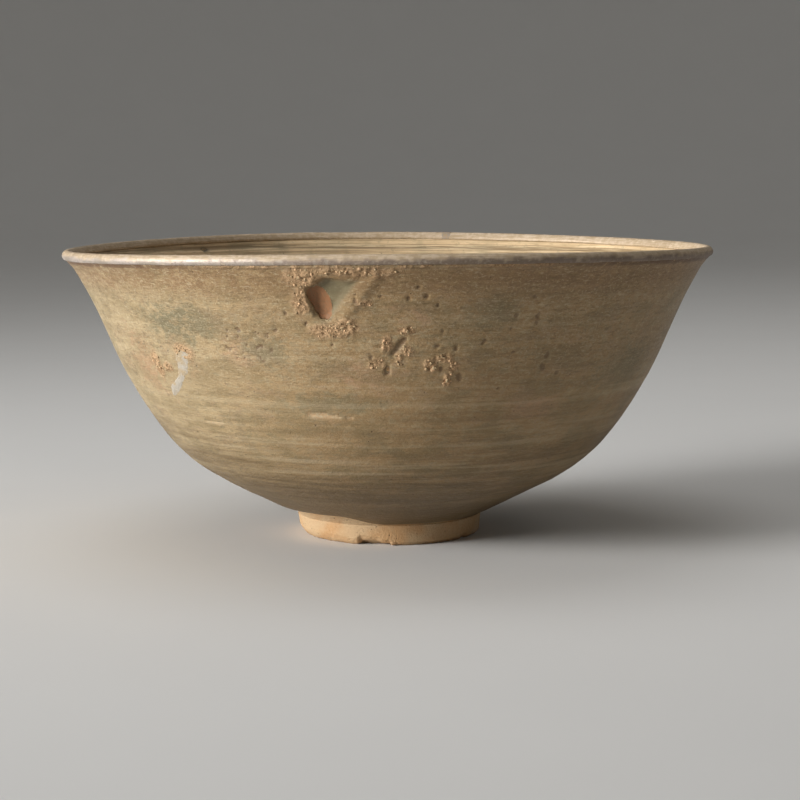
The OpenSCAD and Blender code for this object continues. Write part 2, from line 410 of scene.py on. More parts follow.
def made_object(name, points, faces, masks=None):
    """A smooth mesh object from points in metres, with masks as point attributes and its faces outwards."""
    mesh = bpy.data.meshes.new(name)
    if not isinstance(faces, list):
        faces = faces.tolist()
    mesh.from_pydata(points.tolist(), [], [[int(i) for i in face] for face in faces])
    for mask, values in (masks or {}).items():
        attribute = mesh.attributes.new(mask, "FLOAT", "POINT")
        attribute.data.foreach_set("value", np.asarray(values, np.float32).ravel())
    work = bmesh.new()
    work.from_mesh(mesh)
    bmesh.ops.recalc_face_normals(work, faces=work.faces)
    if work.calc_volume(signed=True) < 0:
        bmesh.ops.reverse_faces(work, faces=work.faces)
    work.to_mesh(mesh)
    work.free()
    mesh.shade_smooth()
    made = bpy.data.objects.new(name, mesh)
    bpy.context.scene.collection.objects.link(made)
    return made


def ring_faces(rows, columns, offset=0):
    """Four-sided faces between neighbouring rings of points, closed round the bowl."""
    row, column = np.meshgrid(np.arange(rows - 1), np.arange(columns), indexing="ij")
    a = offset + row * columns + column
    b = offset + row * columns + (column + 1) % columns
    return np.stack([a, b, b + columns, a + columns], axis=-1).reshape(-1, 4)


def looped_object(name, rings, masks=None):
    """A closed tube: rings of points round the bowl, the last joined to the first."""
    rows, columns = rings.shape[:2]
    faces = ring_faces(rows, columns)
    column = np.arange(columns)
    after = (column + 1) % columns
    last = (rows - 1) * columns
    closing = np.stack([last + column, last + after, after, column], axis=-1)
    return made_object(name, rings.reshape(-1, 3), np.vstack([faces, closing]), masks)


def capped_object(name, rings, masks=None):
    """A closed form whose first and last rings are single points on the axis."""
    rows, columns = rings.shape[:2]
    points = np.vstack([rings[0, :1], rings[1:-1].reshape(-1, 3), rings[-1, :1]])
    middle = {
        mask: np.concatenate([values[0, :1], values[1:-1].ravel(), values[-1, :1]])
        for mask, values in (masks or {}).items()
    }
    faces = ring_faces(rows - 2, columns, 1).tolist()
    top = len(points) - 1
    first_of_last = 1 + (rows - 3) * columns
    for i in range(columns):
        j = (i + 1) % columns
        faces.append((0, 1 + j, 1 + i))
        faces.append((top, first_of_last + i, first_of_last + j))
    return made_object(name, points, faces, middle)


def cut_away(piece, cutter):
    """Cuts one closed object out of another and drops the cutter."""
    modifier = piece.modifiers.new("cut", "BOOLEAN")
    modifier.operation = "DIFFERENCE"
    modifier.solver = "MANIFOLD"
    modifier.object = cutter
    bpy.context.view_layer.update()
    before = len(piece.data.polygons)
    mesh = bpy.data.meshes.new_from_object(piece.evaluated_get(bpy.context.evaluated_depsgraph_get()))
    piece.modifiers.remove(modifier)
    old = piece.data
    piece.data = mesh
    bpy.data.meshes.remove(old)
    mesh.name = piece.name
    bpy.data.objects.remove(cutter)
    if len(mesh.polygons) < before / 2:
        raise RuntimeError(f"the cut in {piece.name} took away the piece")


def finish_piece(piece, material, node):
    """Gives a piece its material and its body, and hides the frame's node that it stands for."""
    piece.data.materials.clear()
    piece.data.materials.append(material)
    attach(piece, "root")
    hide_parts(node)


# Directions of the points round each piece, closest together where there is most to show.
OUTER_COLUMNS = np.radians(graded([
    (-180, -145, 1.0), (-145, -108, 0.38), (-108, -72, 0.25), (-72, -50, 0.38), (-50, 180, 1.0)]))
INNER_COLUMNS = np.radians(graded([(-180, 180, 0.75)]))
FOOT_COLUMNS = np.radians(graded([(-180, -60, 0.5), (-60, 180, 0.8)]))


# ---- the pieces ------------------------------------------------------------

def glaze_start(theta):
    """How far up the wall from the foot the glaze begins, a little unevenly."""
    wander = noise_round(theta, 6.0, 31)
    return 0.2 + 0.25 * wander + foot_side(theta) * (1.0 + 0.4 * wander)


def make_outer_glaze(scene):
    """The outer coat: the detailed face, a rolled lower edge, and a plain face against the clay."""
    thickness = scene.teabowl_shape.glaze_thickness / MM
    theta = OUTER_COLUMNS[None, :]
    mark = OUTER.at_height
    length = OUTER.length
    s = graded([(0, mark(31), 1.15), (mark(31), mark(55), 0.48), (mark(55), length, 0.33)])[1:]
    s = np.append(s, length)[:, None]
    start = glaze_start(theta)
    s = s + start * smooth_step(s, 9, 0)
    lift, masks = glaze_marks(theta, s)
    face = placed(theta, *OUTER.lifted(s, form_lift(theta, s) + lift))
    back_s = graded([(0, mark(42), 3.2), (mark(42), length, 1.6)])[1:]
    back_s = np.append(back_s, length)[::-1, None]
    back = placed(theta, *OUTER.lifted(back_s, form_lift(theta, back_s) - thickness))
    rolled = 0.22 * smooth_step(np.abs(theta + 1.95), 0.4, 0.1)
    edge = []
    for along, depth, roll in GLAZE_EDGE:
        reach = start + along
        lift = form_lift(theta, reach) - depth * thickness + roll * rolled
        edge.append(placed(theta, *OUTER.lifted(reach, lift)))
    rings = np.concatenate([np.concatenate(edge), face, back])
    above, below = np.zeros((len(edge), theta.size)), np.zeros((len(back_s), theta.size))
    for name, mask in masks.items():
        masks[name] = np.vstack([above, mask, below])
    piece = looped_object("outer_glaze_coat", rings, masks)
    cut_away(piece, make_bare_cutter())
    finish_piece(piece, outer_glaze_finish(scene.teabowl_colours), "outer_glaze")


def make_bare_cutter():
    """A short oval plug through the glaze at the bare spot, a little uneven round its edge."""
    turns = np.linspace(0, 2 * math.pi, 72, endpoint=False)
    wobble = 1 + 0.05 * np.sin(3 * turns + 0.6) + 0.025 * np.sin(5 * turns + 2) + 0.015 * np.sin(11 * turns)
    squarer = wobble * (np.abs(np.cos(turns)) ** 2.5 + np.abs(np.sin(turns)) ** 2.5) ** -0.4
    across, along = BARE_RADII[0] * np.cos(turns) * squarer, BARE_RADII[1] * np.sin(turns) * squarer
    a = math.radians(BARE_LEAN)
    u = BARE_CENTRE[0] + across * math.cos(a) - along * math.sin(a)
    v = BARE_CENTRE[1] + along * math.cos(a) + across * math.sin(a)
    s = OUTER.at_height(HOLLOW_HOME[1]) + v
    theta = math.radians(HOLLOW_HOME[0]) + u / OUTER.radius(s)
    ends = [placed(theta, *OUTER.lifted(s, lift)) for lift in (-4, 4)]
    points = np.vstack([ends[0], ends[1]])
    count = len(turns)
    sides = [(i, (i + 1) % count, count + (i + 1) % count, count + i) for i in range(count)]
    caps = [range(count), range(2 * count - 1, count - 1, -1)]
    return made_object("bare_cutter", points, sides + caps)


def make_clay_body(scene):
    """The thrown wall and floor: base with turning marks, bare spot, lip and inside."""
    theta = OUTER_COLUMNS[None, :]
    glaze = scene.teabowl_shape.glaze_thickness / MM
    r = [[0, 0.8, 1.8], np.linspace(3, CONE_R, 8), np.linspace(CONE_R + 0.7, FOOT_R, 24)]
    r = np.concatenate(r)[:, None]
    cone = (FOOT_H - CONE_Z) * smooth_step(r, CONE_R + 1, 0)
    groove_pitch = 1.9
    groove = 0.11 * np.sin(2 * math.pi * r / groove_pitch - theta)
    groove = groove * smooth_step(r, 0.5, 3) * smooth_step(r, FOOT_R - 6, 14)
    rough = 0.06 * layered_noise(turn_points(theta, 0 * r, r / 1.5), 41)
    in_view = (r > 0) & (r < FOOT_BORE_R + 0.35)
    base_z = FOOT_H - cone + np.where(in_view, groove + rough, 0)
    base = placed(theta, r + 0 * theta, base_z)
    wall_s = graded([(0.6, OUTER.at_height(55), 2.2), (OUTER.at_height(55), OUTER.length, 0.45)])
    wall_s = np.append(wall_s, OUTER.length)[:, None]
    bare = bare_depth(theta, wall_s)
    u, v = from_home(theta, wall_s, HOLLOW_HOME)
    scoop = smooth_step(bare, -0.15, 0.75) * (0.28 - 0.07 * u)
    lift = form_lift(theta, wall_s) - glaze - scoop + 0.02 * value_noise(stacked(u, v, 0) / 0.7, 42)
    wall = placed(theta, *OUTER.lifted(wall_s, lift))
    lip = []
    for a in np.radians(np.arange(15, 180, 15)):
        ring = math.cos(a) * LIP_SIDE + math.sin(a) * LIP_AXIS
        ring = placed(theta, *(LIP_CENTRE[:, None, None] + CLAY_LIP_R * ring[:, None, None]))
        lip.append(np.broadcast_to(ring, (1, theta.size, 3)))
    lip = np.concatenate(lip)
    inside_s = np.linspace(INNER.length, 0, 46)[:, None]
    inside_r, inside_z = INNER.lifted(inside_s, glaze)
    inside_r = np.where(inside_s == 0, 0, inside_r)
    inside = placed(theta, inside_r + 0 * theta, inside_z)
    rings = np.concatenate([base, wall, lip, inside])
    burnt = np.zeros(rings.shape[:2])
    burnt[len(base):len(base) + len(wall)] = smooth_step(bare, -0.6, 0.0)
    piece = capped_object("clay_wall", rings, {"burnt": burnt})
    finish_piece(piece, bare_clay_finish(scene.teabowl_colours), "clay_body")


def foot_chip(theta):
    """How high the foot's outer edge is broken away: two chips in front, one behind, small ones all round."""
    x = FOOT_R * np.cos(theta)
    front = np.where(np.sin(theta) < 0, 1.0, 0.0)
    main = 1.25 * smooth_step(x, -8.2, -7.0) * smooth_step(x, 0.3, -3.4)
    second = 0.65 * smooth_step(x, -5.0, -3.4) * smooth_step(x, 0.8, 0.1)
    behind = 0.9 * smooth_step(np.abs(turn_from(theta, 1.1)), 0.16, 0.05)
    small = 0.45 * smooth_step(noise_round(theta, 9.0, 51, layers=4), 0.08, 0.5)
    small = small * (1 - 0.8 * smooth_step(np.abs(theta + 2.3), 0.8, 0.5))
    return np.maximum(np.maximum(main, second) * front, np.maximum(behind, small))


def make_foot_ring(scene):
    """The foot ring: worn bevel, chips along its edge and a sandy face."""
    theta = FOOT_COLUMNS[None, :]
    bevel, gap = 0.8, 0.02                    # the gap keeps the ring just clear of the clay above it
    wear = bevel + 1.1 * smooth_step(np.abs(turn_from(theta, -2.75)), 1.25, 0.35)
    rise = bevel + 1.5 * (wear - bevel)
    chip = foot_chip(theta)
    outer_top, outer_low = FOOT_R - gap, FOOT_R - 0.45
    rows = []

    def row(r, z, roughness=1.0):
        rows.append((r + 0 * theta, z + 0 * theta, roughness))

    for share in np.linspace(0, 1, 12):
        drop = share * (FOOT_H - rise - chip * 0.9)
        row(outer_top + share * (outer_low - outer_top), FOOT_H - gap - drop, 0.5)
    for share in np.linspace(0.12, 1, 9):
        bevel_r = outer_low - wear * (0.25 * share + 0.75 * share**1.6)
        row(bevel_r, (rise + 0.1 * chip) * (1 - share) ** 1.2 + chip * 0.9, 1.3)
    for share in np.linspace(0.1, 1, 12):
        r = outer_low - wear + share * (FOOT_FACE_IN - outer_low + wear)
        row(r, chip * 0.9 * smooth_step(share, 0.75, 0.05), 1.0)
    for share in np.linspace(0.2, 1, 9):
        row(FOOT_FACE_IN - bevel * share, bevel * share**1.5, 0.8)
    for share in np.linspace(0.15, 1, 8):
        row(FOOT_FACE_IN - bevel - 0.75 * share, bevel + share * (FOOT_H - bevel - gap), 0.7)
    for share in np.linspace(0.2, 0.9, 5):
        row(FOOT_BORE_R + share * (outer_top - FOOT_BORE_R), FOOT_H - gap, 0.0)
    rings = []
    for r, z, roughness in rows:
        places = stacked(r * np.cos(theta), r * np.sin(theta), z)
        grainy = layered_noise(places / 0.9, 52, layers=3)
        hole = smooth_step(layered_noise(places / 0.55, 53, layers=2), 0.45, 0.75)
        sway = layered_noise(places / 6, 54, layers=2)
        inwards = roughness * (0.05 + 0.09 * grainy + 0.16 * hole + 0.12 * sway)
        z = z + roughness * (0.06 + 0.12 * np.maximum(grainy, 0) + 0.1 * hole) * smooth_step(z, 3.0, 0.0)
        middle = 0.5 * (FOOT_R + FOOT_BORE_R)
        r = r - np.sign(r - middle) * inwards
        rings.append(placed(theta, r, np.maximum(z, 0)))
    rings = np.concatenate(rings)
    rings[..., 2] -= rings[..., 2].min()
    soot = np.stack([np.broadcast_to(smooth_step(z, 1.2, 0.0), (1, theta.size)) for r, z, _ in rows])
    piece = looped_object("foot_ring_turned", rings, {"soot": soot[:, 0]})
    finish_piece(piece, foot_clay_finish(scene.teabowl_colours), "foot_ring")


def ring_height(theta, s):
    """The throwing rings inside: a slow spiral of uneven ridges, from -1 to 1, fading into the floor."""
    broad_pitch, sharp_pitch = 5.2, 2.35
    drift = 1.1 * layered_noise(turn_points(theta, s / 14, 0.9), 61, layers=2)
    broad = np.sin(2 * math.pi * s / broad_pitch - theta + drift * 2.2)
    turn_share = np.mod(s / sharp_pitch - theta / (2 * math.pi) + 0.6 * drift, 1)
    sharp = 1.6 * np.exp(-((turn_share - 0.5) / 0.2) ** 2) - 0.6
    return (0.45 * broad + 0.6 * sharp) * smooth_step(s, 16, 45)


def make_inner_glaze(scene):
    """The inner coat: throwing rings on the wall, a shallow well in the floor and a few specks."""
    theta = INNER_COLUMNS[None, :]
    length = INNER.length
    s = np.append(graded([(0, 30, 1.1), (30, length, 0.62)]), length)[:, None]
    rings = ring_height(theta, s)
    well_step = 0.9
    well = INNER.at_height(CLAY_FLOOR_Z + GLAZE_T + well_step)
    well_line = smooth_step(np.abs(s - well), 1.1, 0.1)
    swirl = np.sin(2 * math.pi * s / 3.4 - theta) * smooth_step(s, 17, 3) * smooth_step(s, 0, 2)
    sway = layered_noise(turn_points(theta, s / 12, 2.0), 62)
    spots = np.zeros(rings.shape)
    for angle, z, radius in INNER_SPOTS:
        u, v = turn_from(theta, math.radians(angle)) * INNER.radius(s), s - INNER.at_height(z)
        spots = np.maximum(spots, smooth_step(np.hypot(u, v), 1.4 * radius, 0.5 * radius))
    height = 0.17 * rings + 0.10 * sway - 0.10 * well_line + 0.05 * swirl - 0.3 * spots
    fade = smooth_step(s, length + 0.1, length - 1.2) * smooth_step(s, 0, 1.5)
    r, z = INNER.lifted(s, -height * fade)
    r = np.where(s == 0, 0, r)
    face = placed(theta, r + 0 * theta, z)
    back_s = np.linspace(length, 0, 30)[:, None]
    back_r, back_z = INNER.lifted(back_s, scene.teabowl_shape.glaze_thickness / MM)
    back_r = np.where(back_s == 0, 0, back_r)
    back = placed(theta, back_r + 0 * theta, back_z)
    plain = np.zeros((len(back_s), theta.size))
    masks = {
        "ridge": np.vstack([rings + 0.6 * sway, plain]),
        "spot": np.vstack([spots, plain]),
        "well": np.vstack([np.broadcast_to(well_line, rings.shape), plain]),
    }
    piece = capped_object("inner_glaze_coat", np.concatenate([face, back]), masks)
    finish_piece(piece, inner_glaze_finish(scene.teabowl_colours), "inner_glaze")


def folded_rings(theta, outer_r, legs, inner_r, dents=0.0):
    """Rings of a strip folded over the lip: its outer face, the edge inside the bowl and its inner face."""
    angles = np.radians(np.linspace(0, 180, 15))
    rings = []

    def ring(offset, along):
        r, z = offset * LIP_SIDE[:, None, None] + along * LIP_AXIS[:, None, None]
        rings.append(placed(theta, LIP_CENTRE[0] + r + 0 * theta, LIP_CENTRE[1] + z + 0 * theta))

    outer_leg, inner_leg = legs
    corner, burr, rise = 0.06, 0.03, 0.08     # the strip's cut edges are rounded, and bulge a little
    ring(inner_r, -outer_leg + rise)
    ring(0.5 * (inner_r + outer_r), -outer_leg - burr)
    ring(outer_r - corner, -outer_leg)
    ring(outer_r - dents * 0.5, -outer_leg + 0.1)
    for a in angles:
        push = outer_r - dents * (0.4 + 0.6 * math.sin(a))
        ring(push * math.cos(a), push * math.sin(a))
    ring(-outer_r, -inner_leg * 0.5)
    ring(-outer_r + corner, -inner_leg)
    ring(-0.5 * (inner_r + outer_r), -inner_leg - burr)
    ring(-inner_r, -inner_leg + rise)
    for a in angles[::-2]:
        ring(inner_r * math.cos(a), inner_r * math.sin(a))
    return np.concatenate(rings)


def make_rim_band(scene):
    """The metal band, dented and with an uneven lower edge, and its bed of lacquer."""
    theta = OUTER_COLUMNS[None, :]
    thickness = scene.teabowl_shape.band_thickness / MM
    dents = 0.05 + 0.05 * noise_round(theta, 14.0, 71)
    dents = dents + 0.10 * smooth_step(noise_round(theta, 9.0, 72, layers=2), 0.35, 0.7)
    outer_leg = OUTER_LEG + 0.12 * noise_round(theta, 11.0, 73)
    inner_leg = INNER_LEG + 0.12 * noise_round(theta, 11.0, 74)
    rings = folded_rings(theta, BEAD_R - 0.02, (outer_leg, inner_leg), BEAD_R - thickness, dents)
    row = np.arange(len(rings))[:, None]
    worn = layered_noise(turn_points(theta, row / 3, 60.0), 76, layers=3)
    inside = smooth_step(row + 2.5 * worn, 5.5, 9.0)
    # Painted shade: the band's right front side, away from the key light, gets more tarnish and fewer pale
    # spots.
    painted_shade_side = smooth_step(np.cos(theta + 0.2) + 0 * row, -0.5, 0.4) * np.where(np.sin(theta) < 0.3, 1, 0)
    masks = {"inside": inside, "worn": smooth_step(worn, 0.25, 0.6), "brown": painted_shade_side}
    band = looped_object("rim_band_beaten", rings, masks)
    finish_piece(band, band_finish(scene.teabowl_colours), "rim_band")
    # Lacquer oozes out under the band in beads, but not over the flaked hollow.
    bead = 0.3 * smooth_step(noise_round(theta, 4.0, 75), -0.3, 0.5)
    bead = bead * smooth_step(np.abs(theta - math.radians(-97)), 0.11, 0.2)
    bed_r = BEAD_R - thickness - 0.005 + 0.22 * bead
    rings = folded_rings(theta, bed_r, (outer_leg + bead, inner_leg + 0.15), CLAY_LIP_R)
    lacquer = looped_object("rim_lacquer_bed", rings)
    finish_piece(lacquer, lacquer_finish(scene.teabowl_colours), "rim_lacquer")


def make_band_solder(scene):
    """The soldered joint: a short lump of solder smoothed over the band's meeting ends."""
    low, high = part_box("band_solder")
    angle = math.atan2((low.y + high.y) / 2, (low.x + high.x) / 2)
    half_width = 1.3
    half = half_width / RIM_R
    theta = np.linspace(angle - half, angle + half, 22)[None, :]
    share = (theta - angle) / half
    edge = np.sqrt(np.clip(1 - share**2, 0, 1))
    grain = noise_round(theta, 60.0, 81, layers=2)
    outer_r = BEAD_R - 0.045 + 0.045 * edge + 0.008 * grain
    rings = folded_rings(theta, outer_r, (OUTER_LEG + 0.05 * edge, INNER_LEG + 0.05 * edge), BEAD_R - 0.3)
    rows, columns = rings.shape[:2]
    index = np.arange(rows * columns).reshape(rows, columns)
    faces = [
        (index[i, j], index[i, j + 1], index[(i + 1) % rows, j + 1], index[(i + 1) % rows, j])
        for i in range(rows) for j in range(columns - 1)
    ]
    faces += [index[:, 0], index[::-1, -1]]
    piece = made_object("band_joint", rings.reshape(-1, 3), faces)
    finish_piece(piece, solder_finish(scene.teabowl_colours), "band_solder")


def make_kiln_grit(scene):
    """Lumpy grains of sand and crumbled glaze fused to the wall in the crumbled places."""
    work = bmesh.new()
    bmesh.ops.create_icosphere(work, subdivisions=2, radius=1.0)
    ball = np.array([v.co for v in work.verts])
    triangles = np.array([[v.index for v in f.verts] for f in work.faces])
    work.free()
    rng = np.random.default_rng(91)
    grains_per_area, least_grains = 1.9, 3
    smallest, largest = 0.12, 0.32
    points, faces, count = [], [], 0
    for home, centre, radii in CRUMBS:
        for _ in range(round(grains_per_area * radii[0] * radii[1]) + least_grains):
            turn, reach = rng.uniform(0, 2 * math.pi), math.sqrt(rng.uniform(0, 1))
            v = centre[1] + radii[1] * reach * math.sin(turn)
            u = centre[0] + radii[0] * reach * math.cos(turn)
            s = OUTER.at_height(home[1]) + v
            theta = math.radians(home[0]) + u / OUTER.radius(s)
            size = rng.uniform(smallest, largest) * (1.0 if rng.uniform() < 0.85 else 1.5)
            stretch = rng.uniform(0.75, 1.3, 3)
            lumps = 1 + 0.32 * layered_noise(ball * 1.3 + rng.uniform(0, 90, 3), 92, layers=2)
            if s > OUTER.length - 0.6 or bare_depth(np.array(theta), np.array(s)) > -0.35:
                continue
            seat = np.array([[theta]]), np.array([[s]])
            grain = ball * lumps[:, None] * stretch * size
            lift = form_lift(*seat)[0, 0] + glaze_marks(*seat)[0][0, 0] + 0.62 * grain[:, 2]
            where = placed(theta + grain[:, 0] / OUTER.radius(s), *OUTER.lifted(s + grain[:, 1], lift))
            faces.append(triangles + count)
            points.append(where)
            count += len(where)
    piece = made_object("kiln_grit_grains", np.vstack(points), np.vstack(faces))
    finish_piece(piece, grit_finish(scene.teabowl_colours), "kiln_grit")


def make_scar_fill(scene):
    """The pale fill in the long scar: a thin uneven pad that follows the scar's bent path."""
    path = curve_through(SCAR_PATH, steps=9)
    run = np.gradient(path[:, :2], axis=0)
    run = run / np.linalg.norm(run, axis=1)[:, None]
    share = np.linspace(-1, 1, 17)
    along = np.arange(len(path))[:, None] / 5
    ragged = 1 + 0.34 * layered_noise(stacked(along * 1.7, np.sign(share) * 3, 0), 95, layers=4, gain=0.7)
    reach = path[:, 2:3] * share * ragged
    u = path[:, :1] - run[:, 1:2] * reach
    v = path[:, 1:2] + run[:, :1] * reach
    s = OUTER.at_height(SCAR_HOME[1]) + v
    theta = math.radians(SCAR_HOME[0]) + u / OUTER.radius(s)
    relief, _ = glaze_marks(theta, s)
    grain = layered_noise(stacked(u, v, 0) / 0.8, 96)
    inside = np.sqrt(np.clip(1 - share**2, 0, 1))
    top = form_lift(theta, s) + 0.4 * relief + (0.10 + 0.07 * grain) * inside - 0.06 * (1 - inside)
    low = form_lift(theta, s) - 0.3 - 0.1 * inside
    faces = []
    rows, columns = u.shape
    index = np.arange(rows * columns).reshape(rows, columns)
    for i in range(rows - 1):
        for j in range(columns - 1):
            quad = (index[i, j], index[i, j + 1], index[i + 1, j + 1], index[i + 1, j])
            faces.append(quad)
            faces.append(tuple(k + rows * columns for k in quad[::-1]))
    edge = [*index[0], *index[1:, -1], *index[-1, -2::-1], *index[-2:0:-1, 0]]
    for a, b in zip(edge, edge[1:] + edge[:1]):
        faces.append((a, b, b + rows * columns, a + rows * columns))
    points = np.concatenate([placed(theta, *OUTER.lifted(s, lift)).reshape(-1, 3) for lift in (top, low)])
    piece = made_object("scar_fill_pad", points, faces)
    finish_piece(piece, fill_finish(scene.teabowl_colours), "scar_fill")


# ---- materials -------------------------------------------------------------

class Flow:
    """A socket in a material's nodes. Arithmetic on flows adds Math nodes, and blend mixes colours."""

    def __init__(self, tree, socket=None):
        self.tree = tree
        self.socket = socket

    def node(self, kind, settings=None, sockets=None, output=0):
        """Adds a node: its settings, then the values or links of its sockets. Gives the named output."""
        made = self.tree.nodes.new(kind)
        for name, value in (settings or {}).items():
            setattr(made, name, value)
        for name, value in (sockets or {}).items():
            if isinstance(value, Flow):
                self.tree.links.new(value.socket, made.inputs[name])
            else:
                made.inputs[name].default_value = value
        return Flow(self.tree, made.outputs[output])

    def _math(self, operation, first, second):
        return self.node("ShaderNodeMath", {"operation": operation}, {0: first, 1: second})

    def __add__(self, other):
        return self._math("ADD", self, other)

    def __radd__(self, other):
        return self._math("ADD", other, self)

    def __sub__(self, other):
        return self._math("SUBTRACT", self, other)

    def __rsub__(self, other):
        return self._math("SUBTRACT", other, self)

    def __mul__(self, other):
        return self._math("MULTIPLY", self, other)

    def __rmul__(self, other):
        return self._math("MULTIPLY", other, self)

    def most(self, other):
        """The greater of this and another."""
        return self._math("MAXIMUM", self, other)

    def step(self, low, high):
        """0 where this is below low, 1 above high, and an S-curve between."""
        return self.node("ShaderNodeMapRange", {"interpolation_type": "SMOOTHSTEP"},
                         {"Value": self, "From Min": low, "From Max": high})

    def blend(self, first, second):
        """With this as the factor, one colour at 0 and the other at 1."""
        first, second = (end if isinstance(end, Flow) else (*end, 1.0) for end in (first, second))
        return self.node("ShaderNodeMix", {"data_type": "RGBA"}, {0: self, 6: first, 7: second}, 2)

    def scaled(self, x, y, z):
        """A vector stretched along each axis."""
        return self.node("ShaderNodeVectorMath", {"operation": "MULTIPLY"}, {0: self, 1: (x, y, z)})

    def noise(self, scale=1.0, detail=3.0, roughness=0.5, distortion=0.0):
        """Noise at this place, one cell to a unit of 1 / scale."""
        return self.node("ShaderNodeTexNoise", None, {"Vector": self, "Scale": scale, "Detail": detail,
                                                      "Roughness": roughness, "Distortion": distortion})

    def cells(self, scale=1.0):
        """Distance to the nearest of scattered points."""
        return self.node("ShaderNodeTexVoronoi", None, {"Vector": self, "Scale": scale}, "Distance")

    def mask(self, name):
        """A mask that the mesh carries on its points."""
        return self.node("ShaderNodeAttribute", {"attribute_name": name}, None, "Fac")

    def place(self):
        """The point's place in millimetres."""
        return self.node("ShaderNodeTexCoord", None, None, "Object").scaled(1 / MM, 1 / MM, 1 / MM)

    def height(self):
        """The point's height in millimetres."""
        return self.node("ShaderNodeSeparateXYZ", None, {0: self.place()}, "Z")


def new_material(name):
    material = bpy.data.materials.new(name)
    material.use_nodes = True
    material.node_tree.nodes.clear()
    return material, Flow(material.node_tree)


def close_material(start, colour, roughness, height, depth_mm, metallic=0.0, specular=0.5):
    """Joins a colour, a roughness and a relief into one surface. height runs from 0 to 1 over depth_mm."""
    bump = start.node("ShaderNodeBump", None, {
        "Height": height, "Distance": depth_mm * MM, "Strength": 1.0})
    shader = start.node("ShaderNodeBsdfPrincipled", None, {
        "Base Color": colour, "Roughness": roughness, "Metallic": metallic, "Normal": bump,
        "Specular IOR Level": specular})
    output = start.tree.nodes.new("ShaderNodeOutputMaterial")
    start.tree.links.new(shader.socket, output.inputs["Surface"])


